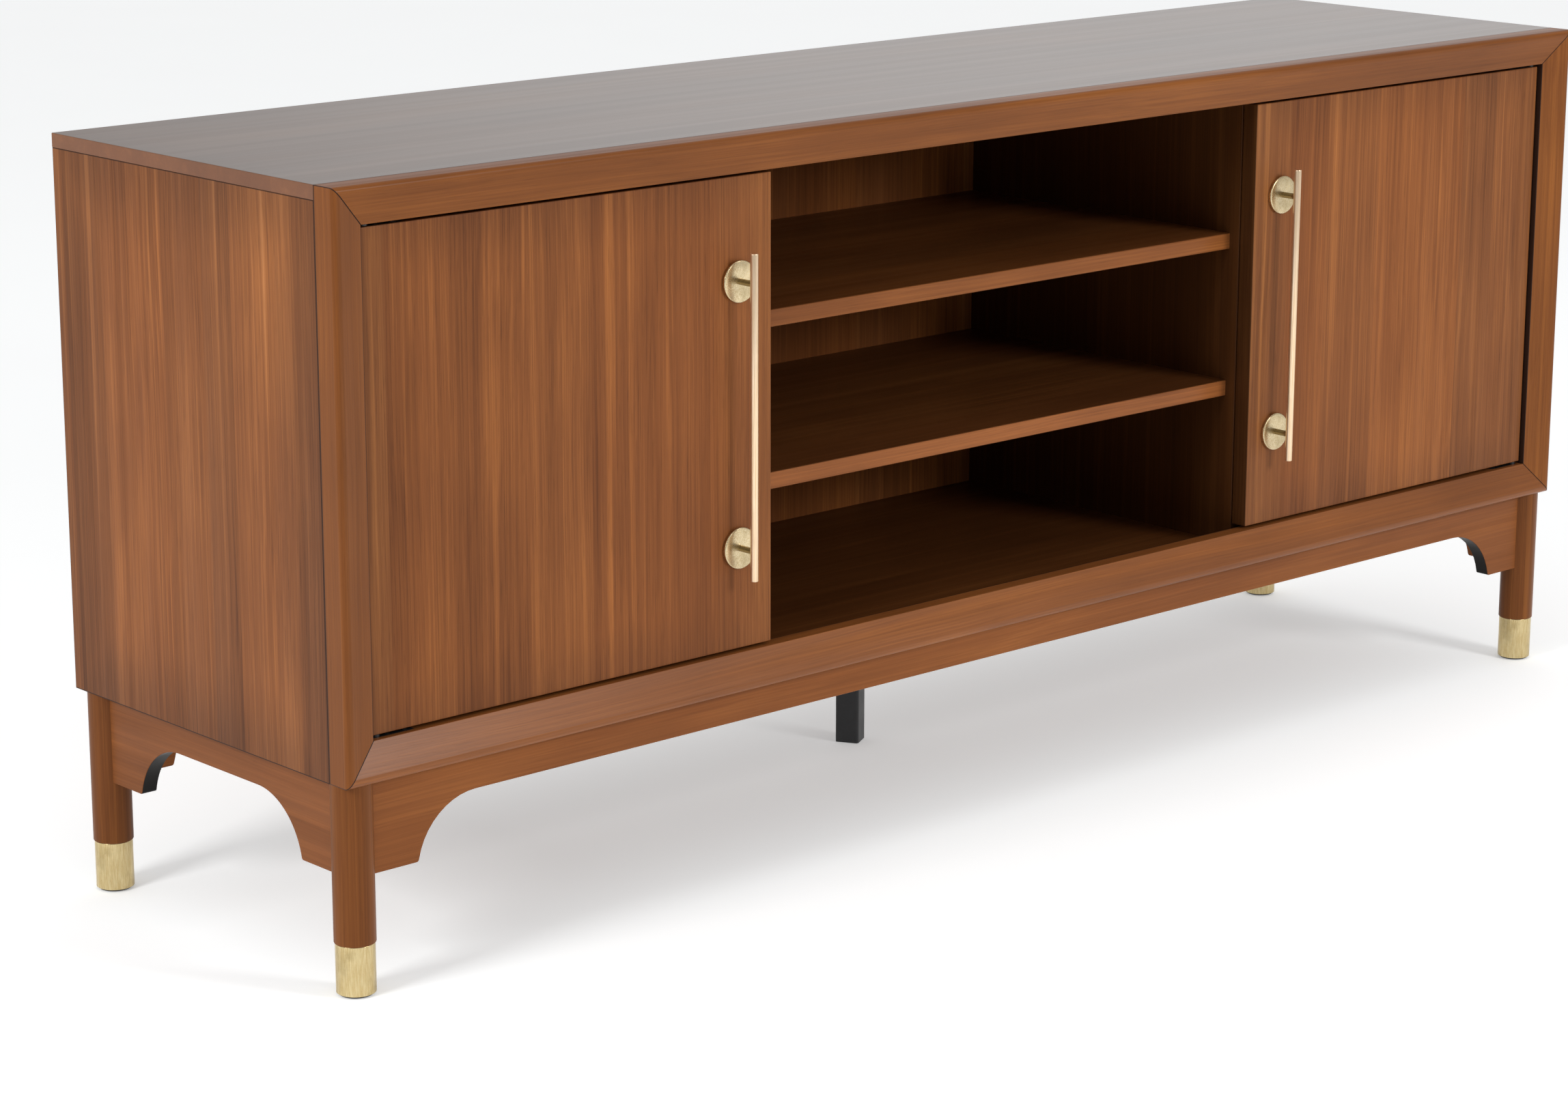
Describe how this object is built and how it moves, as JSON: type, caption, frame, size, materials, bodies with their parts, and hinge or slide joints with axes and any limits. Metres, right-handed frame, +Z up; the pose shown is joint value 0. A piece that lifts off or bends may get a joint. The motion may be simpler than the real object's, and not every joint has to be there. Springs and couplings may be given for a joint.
{
  "type": "tv stand",
  "caption": "Long walnut media console on round legs with brass feet; hinged inset doors with brass bar handles either side of an open bay with shelves.",
  "frame": {"origin": "on the floor, under the middle of the bounding box", "axes": "+X to the right along the width as seen from the front, +Y from front to back, +Z up"},
  "size_m": [1.778, 0.4688, 0.762],
  "materials": {
    "walnut_top": "satin lacquered walnut veneer",
    "walnut_side": "satin lacquered walnut veneer",
    "walnut_frame": "satin lacquered solid walnut",
    "walnut_door": "satin lacquered walnut veneer",
    "walnut_interior": "satin lacquered walnut veneer",
    "walnut_back": "matt walnut veneer",
    "walnut_base": "satin lacquered solid walnut",
    "corner_block_wood": "unfinished softwood",
    "brass": "brushed",
    "black_steel": "matt powder coat",
    "zinc_steel": "zinc plated",
    "glide_nylon": "matt",
    "catch_plastic": "matt"
  },
  "bodies": {
    "case": {"back_apron": "walnut_base", "back_left_ferrule": "brass", "back_left_leg": "walnut_base", "back_panel": "walnut_back", "back_panel_screws": "zinc_steel", "back_right_ferrule": "brass", "back_right_leg": "walnut_base", "base_screws": "zinc_steel", "bay_lower_shelf": "walnut_interior", "bay_upper_shelf": "walnut_interior", "bottom_panel": "walnut_interior", "center_leg": "black_steel", "center_leg_plate": "black_steel", "corner_blocks": "corner_block_wood", "foot_glides": "glide_nylon", "frame_bottom_rail": "walnut_frame", "frame_hinge_screws": "zinc_steel", "frame_left_stile": "walnut_frame", "frame_right_stile": "walnut_frame", "frame_top_rail": "walnut_frame", "front_apron": "walnut_base", "front_left_ferrule": "brass", "front_left_leg": "walnut_base", "front_right_ferrule": "brass", "front_right_leg": "walnut_base", "left_apron": "walnut_base", "left_bottom_hinge_frame_leaf": "black_steel", "left_cabinet_shelf": "walnut_interior", "left_partition": "walnut_interior", "left_side_panel": "walnut_side", "left_top_hinge_frame_leaf": "black_steel", "leg_bolt_nuts": "zinc_steel", "leg_bolts": "zinc_steel", "magnetic_catches": "catch_plastic", "right_apron": "walnut_base", "right_bottom_hinge_frame_leaf": "black_steel", "right_cabinet_shelf": "walnut_interior", "right_partition": "walnut_interior", "right_side_panel": "walnut_side", "right_top_hinge_frame_leaf": "black_steel", "shelf_pins": "zinc_steel", "top_panel": "walnut_top"},
    "left_door": {"left_door": "walnut_door", "left_handle_bar": "brass", "left_handle_posts": "brass", "left_handle_rosettes": "brass", "left_handle_screws": "zinc_steel", "left_strike_plate": "zinc_steel", "left_door_hinge_screws": "zinc_steel", "left_top_hinge_door_leaf": "black_steel", "left_bottom_hinge_door_leaf": "black_steel"},
    "right_door": {"right_door": "walnut_door", "right_handle_bar": "brass", "right_handle_posts": "brass", "right_handle_rosettes": "brass", "right_handle_screws": "zinc_steel", "right_strike_plate": "zinc_steel", "right_door_hinge_screws": "zinc_steel", "right_top_hinge_door_leaf": "black_steel", "right_bottom_hinge_door_leaf": "black_steel"}
  },
  "joints": [
    {"name": "left_door_hinge", "type": "hinge", "parent": "case", "child": "left_door", "pos_m": [-0.8415, -0.2012, 0.4845], "axis": [0, 0, -1], "range_deg": [0, 100]},
    {"name": "right_door_hinge", "type": "hinge", "parent": "case", "child": "right_door", "pos_m": [0.8415, -0.2012, 0.4845], "axis": [0, 0, 1], "range_deg": [0, 100]}
  ]
}
